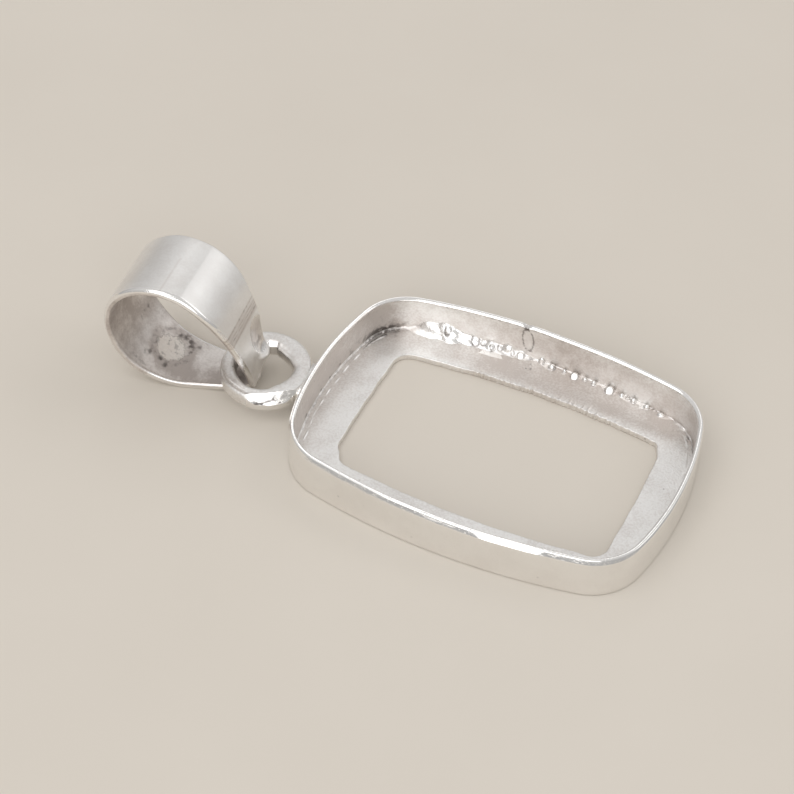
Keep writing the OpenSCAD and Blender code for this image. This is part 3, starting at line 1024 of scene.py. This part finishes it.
print("the strip is", round(STRIP, 2), "mm long and its tips lie",
      np.round(on_strip(np.array([0, STRIP]), np.zeros(2), np.zeros(2)), 2).tolist())

# %% [markdown]
# ## Folding the bail
#
# The section across the strip is a flat bar with rounded edges, and it closes on
# itself so that the outside, the polished edges and the stained inside are one skin
# with three finishes. Near the upper tip a file left a shallow scoop, whose lower lip
# stands out a little, and narrowed the tongue below it.

# %% Bail
FACES_ACROSS = 42
# how fast it widens from the tips, and the radii of its outer and inner edges
TAPER = 0.19
BAIL_SOFT = 0.09
INNER_SOFT = 0.15
# places on the strip are along and across it, and so are their reaches
CREASE_AT = 14.8
SCOOP_AT, SCOOP_REACH, SCOOP_DEEP = (19.7, 0.92), (1.0, 0.86), 0.22
LIP_AT, LIP_REACH, LIP_HIGH = (21.0, 0.95), (0.3, 0.5), 0.22
# each step of the section: share of the way across, how far round its edge it is
# out and down in edge radii, 0 for the outside and 1 for the inside, and finish
section = [(share, 0.0, 0.0, 0, 0) for share in np.linspace(-1, 1, FACES_ACROSS)]
edge_turns = np.linspace(0, math.pi / 2, 6)[1:]
edge = [(1.0, math.sin(a), 1 - math.cos(a), 0, 1) for a in edge_turns]
edge += [(1.0, math.sin(a), 1 - math.cos(a), 1, 1) for a in edge_turns[::-1]]
section += edge
section += [(share, 0.0, 0.0, 1, 2) for share in np.linspace(1, -1, FACES_ACROSS)]
section += [(-share, out, down, side, part) for share, out, down, side, part in edge[::-1]]
across_share, edge_out, edge_down, inner_side, strip_part = map(np.array, zip(*section))
strip_rows = np.linspace(0.0, STRIP, 430)[:, None]
to_top_tip = STRIP - strip_rows
from_tip = np.minimum(strip_rows, to_top_tip)
gap = FULL_HALF - (TIP_HALF + TAPER * from_tip)
half_width = FULL_HALF - 0.5 * (gap + np.sqrt(gap**2 + 0.05)) + 0.02
half_width = half_width + waves(strip_rows, 2 * STRIP, 0.012, 3, 16, 13)
near_side = across_share < 0
upper_leaf = ease(strip_rows, 7.5, 10.0)
filed = (0.07 + 0.09 * hump(strip_rows, CREASE_AT, 1.3)) * near_side * upper_leaf
inner_soft = np.where(near_side, INNER_SOFT - 0.08 * upper_leaf, INNER_SOFT)
soft = np.where(inner_side == 1, inner_soft, BAIL_SOFT + filed)
local_across = across_share * (half_width - soft) + np.sign(across_share) * soft * edge_out
depths = np.where(inner_side == 1, SHEET - soft * edge_down, soft * edge_down)
tip_across = np.clip(np.abs(local_across), 0, 0.9)
bulge = TIP_ROUND - np.sqrt(TIP_ROUND**2 - tip_across**2)
strip_along = strip_rows + bulge * (np.exp(-strip_rows / 0.9) - np.exp(-to_top_tip / 0.9))
strip_across = local_across + TIP_LEAN * (1 - ease(from_tip, 0.5, 5.5))
flare = 0.16 * hump(to_top_tip, 0.85, 0.3) - 1.15 * (1 - ease(to_top_tip, 0.1, 0.85))
strip_across = strip_across + flare * (across_share + 1) / 2
scoop = (strip_along - SCOOP_AT[0]) ** 2 / SCOOP_REACH[0] ** 2
scoop = np.clip(1 - scoop - ((strip_across - SCOOP_AT[1]) / SCOOP_REACH[1]) ** 2, 0, 1)
outer_share = 1 - depths / SHEET
strip_depth = depths + SCOOP_DEEP * scoop * outer_share
strip_depth = strip_depth - LIP_HIGH * spot(strip_along, strip_across, LIP_AT, LIP_REACH)
strip_depth = strip_depth + waves(strip_along, 2 * STRIP, 0.005, 6, 24, 14) * (0.3 + outer_share)
strip_depth = strip_depth - 0.04 * np.exp(-np.abs(strip_along - CREASE_AT) / 0.6)
end_round = 0.5 * SHEET * (np.exp(-strip_rows / 0.08) + np.exp(-to_top_tip / 0.08))
strip_depth = strip_depth + (0.5 - strip_depth / SHEET) * end_round * 0.9
rows, columns = strip_along.shape
# each end is closed by faces from the outside across to the inside
edge_half = len(edge) // 2
outer = np.arange(-edge_half, FACES_ACROSS + edge_half - 1)
opposite = 2 * FACES_ACROSS + 2 * edge_half - 1 - outer
end = np.stack([outer, outer + 1, opposite - 1, opposite], -1) % columns
bail_faces = np.concatenate(
    [grid_faces(rows, columns, False, True), end, (rows - 1) * columns + end[:, ::-1]]
)
print("the leaf is", round(2 * float(half_width.max()), 2), "mm wide at its widest")

# %% [markdown]
# ## Stain, file marks and painted light on the bail
#
# Inside the lower leaf a pale rough blotch of flux has a halo and dark spots round it,
# and two duller patches inside are painted reflections. Outside, a file crossed the
# strip near the tip, a band past the crease gets a painted highlight, and the scoop is
# polished and gets a painted reflection that darkens towards the tip. Soft masks in
# the strip's own directions place them all, so that they bend with the metal.

# %% Bail marks
BLOTCH = ((4.94, 0.21), (0.95, 0.9))
HALO_AT, HALO_RADIUS, HALO_WIDE = (4.85, 0.3), 1.05, 0.32
# painted reflections inside the bail, as duller patches: strength, centre and reach along and across
BROWN = ((1.0, (8.6, -0.3), (1.1, 1.3)), (1.4, (3.2, -0.9), (1.3, 0.8)))
# dark marks on the inside: place along and across the strip, and size
DARK_SPOTS = (
    (7.25, 1.19, 0.19), (7.32, 0.85, 0.15), (7.25, 0.35, 0.16), (7.1, 0.1, 0.09),
    (4.84, 1.22, 0.13), (4.48, 1.28, 0.17), (4.20, 1.15, 0.20), (4.05, 0.85, 0.18),
    (3.61, 1.05, 0.13), (3.95, 0.5, 0.13), (6.02, -0.95, 0.15), (5.78, -0.75, 0.19),
    (5.1, -0.72, 0.14), (4.68, -0.91, 0.15), (5.76, -0.05, 0.08), (5.2, 0.55, 0.06),
)
# lines that a file left across the outside: place along, slant and width
FILE_LINES = ((17.98, -0.05, 0.05), (18.20, -0.06, 0.02), (18.34, -0.06, 0.02), (18.52, -0.08, 0.05))
inside_mask = inner_side[None, :] * 1.0
outside_mask = 1 - inside_mask
halo = hump(np.hypot(strip_along - HALO_AT[0], strip_across - HALO_AT[1]), HALO_RADIUS, HALO_WIDE)
dark_spots = specks(strip_along, strip_across, DARK_SPOTS)
under_line = hump(strip_across, -1.55, 0.10) * between(strip_along, 5.0, 5.6, 6.3, 6.9)
file_lines = np.max([
    hump(strip_along - slant * strip_across, line_along, width) for line_along, slant, width in FILE_LINES
], axis=0)
worn_band = between(strip_along, 17.95, 18.1, 18.5, 18.7)
short_line = hump(strip_along, 13.8, 0.035) * (strip_across < 0.5)
# painted highlight: a band past the crease on the outside is made clean and bright
bright_band = between(strip_along, 14.72, 14.86, 15.2, 16.8)
# painted reflection in the scoop: it is made duller there
shiny = scoop * outside_mask
grubby = (0.45 * worn_band + 0.7 * file_lines + 0.4 * short_line) * (1 - shiny)
inside_stain = 0.1 + 0.6 * halo + 0.4 * spots(strip_along, strip_across, BROWN)
inside_dark = 0.65 * dark_spots + 0.4 * halo + 0.5 * under_line
# painted dark reflection in the scoop, darker towards the tip
scoop_dark = 0.6 * shiny * ease(strip_along, 19.4, 20.2)
bail_marks = {
    "stain": np.clip(inside_mask * inside_stain + outside_mask * grubby + 0.9 * shiny, 0, 1),
    "dark": np.clip(inside_mask * inside_dark + 0.35 * outside_mask * file_lines + scoop_dark, 0, 1),
    "bright": np.clip(0.5 * bright_band * outside_mask, 0, 1),
    "crust": inside_mask * spot(strip_along, strip_across, *BLOTCH),
}
bail_parts = np.tile(strip_part, (rows, 1))
bail_parts[(scoop > 0.05) & (bail_parts == 0)] = 1
bail_parts[(strip_along > 5.2) & (inner_side == 1) & (edge_out > 0)] = 2
bail_parts = np.concatenate([bail_parts[:-1].ravel(), np.ones(2 * len(end), int)])
bail = make_piece(
    "bail_strip", on_strip(strip_along, strip_across, strip_depth), bail_faces,
    [BAIL_OUTSIDE, POLISHED, BAIL_INSIDE], bail_parts, bail_marks,
)

# %% [markdown]
# ## Which piece stands for which part
#
# Each new piece rides on the frame, and the CAD part that it stands for is hidden. The
# cup's five pieces are one soldered solid in the CAD model.

# %% Tie the pieces to the frame
for piece in (bezel_wall, back_plate, base_solder, jump_ring, ring_solder):
    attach(piece, "root")
    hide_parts("bezel_cup")
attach(bail, "root")
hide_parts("bail")

# %% [markdown]
# ## The table
#
# The piece lies on a plain pale table. It is one large square with a faint, slow
# change of colour, just below the metal so that the two never flicker through each
# other. It isn't part of the piece.

# %% Table
FLOOR_DOWN = 0.02
FLOOR_HALF = 400.0
floor_mesh = bpy.data.meshes.new("table_top")
floor_corners = [(x * FLOOR_HALF, y * FLOOR_HALF) for x, y in ((-1, -1), (1, -1), (1, 1), (-1, 1))]
floor_mesh.from_pydata([(x * MM, y * MM, -FLOOR_DOWN * MM) for x, y in floor_corners], [], [(0, 1, 2, 3)])
table = put_in_scene("table_top", floor_mesh)
table_paint = bpy.data.materials.new("table_paint")
table_paint.use_nodes = True
tree = table_paint.node_tree
paint = tree.nodes["Principled BSDF"]
faint = noise(in_millimetres(tree), 0.08, 4.0)
colour = blend(faint, (0.70, 0.645, 0.57, 1), (0.75, 0.695, 0.62, 1))
tree.links.new(colour, paint.inputs["Base Color"])
paint.inputs["Roughness"].default_value = 0.6
floor_mesh.materials.append(table_paint)
print("the table is", 2 * FLOOR_HALF, "mm wide")

# %% [markdown]
# ## Light
#
# Silver is seen by what it mirrors, so the light matters more than the metal. The
# dome is pale grey, brighter overhead, and darker low down so that upright faces get
# some contrast. One soft box in front makes the bright line along the near bevel. A
# small one high at the back whitens only the polished rims, because a satin face
# gathers light from all round and hardly feels it. Three more shape the curved bail.

# %% Light
# name, direction round and up in degrees, distance, width and height, and brightness
BOXES = (
    ("front_box", -82, 30, 0.40, 0.46, 0.27, 1.35),
    ("top_box", -130, 64, 0.40, 0.22, 0.22, 1.2),
    ("high_back_box", 113, 46, 0.42, 0.09, 0.08, 0.85),
    ("back_box", 50, 44, 0.42, 0.24, 0.20, 0.6),
    ("side_box", 25, 35, 0.45, 0.12, 0.18, 0.9),
)
DOME_LOW, DOME_HIGH = 0.42, 0.66
world = bpy.data.worlds.new("studio")
bpy.context.scene.world = world
world.use_nodes = True
tree = world.node_tree
background = tree.nodes["Background"]
upward = node(tree, "ShaderNodeTexCoord").outputs["Generated"]
height = node(tree, "ShaderNodeSeparateXYZ", {0: upward}).outputs["Z"]
glow = rise(height, -0.1, 0.75, DOME_LOW, DOME_HIGH)
dome = blend(glow, (0.0, 0.0, 0.0, 1), (1.0, 0.985, 0.97, 1))
tree.links.new(dome, background.inputs["Color"])


def soft_box(name, azimuth, elevation, away, width, height, brightness):
    """A square light facing the piece from that direction, in degrees and metres.
    brightness is how light its face looks, with 1 for white."""
    lamp = bpy.data.lights.new(name, "AREA")
    lamp.shape = "RECTANGLE"
    lamp.size, lamp.size_y = width, height
    lamp.energy = brightness * math.pi * width * height
    a, e = math.radians(azimuth), math.radians(elevation)
    toward = Vector((math.cos(e) * math.cos(a), math.cos(e) * math.sin(a), math.sin(e)))
    light = put_in_scene(name, lamp)
    light.location = toward * away
    light.rotation_euler = toward.to_track_quat("Z", "Y").to_euler()


for box in BOXES:
    soft_box(*box)

# %% [markdown]
# ## The camera
#
# The camera looks down at about 47 degrees from the near right, a little tilted, and
# looks through a long lens. Its place was worked out by laying the CAD model over the
# photograph until rim, foot and window all matched.

# %% Camera
# where it stands and what it looks at, in millimetres, its roll and its lens
EYE, AIM = (31.0559, -71.6979, 84.0919), (-0.7742, 1.3648, 0.0)
ROLL = math.radians(2.352)
FOCAL_LENGTH = 108.816
lens = bpy.data.cameras.new("camera")
lens.sensor_width = 36.0
lens.lens = FOCAL_LENGTH
lens.clip_start = 0.005
camera = put_in_scene("camera", lens)
eye, aim = Vector(EYE) * MM, Vector(AIM) * MM
facing = (eye - aim).to_track_quat("Z", "Y").to_matrix().to_4x4()
roll = Matrix.Rotation(ROLL, 4, "Z")
camera.matrix_world = Matrix.Translation(eye) @ facing @ roll
bpy.context.scene.camera = camera
bpy.context.scene.view_settings.view_transform = "Standard"
print("camera is", round((eye - aim).length / MM, 1), "mm away")
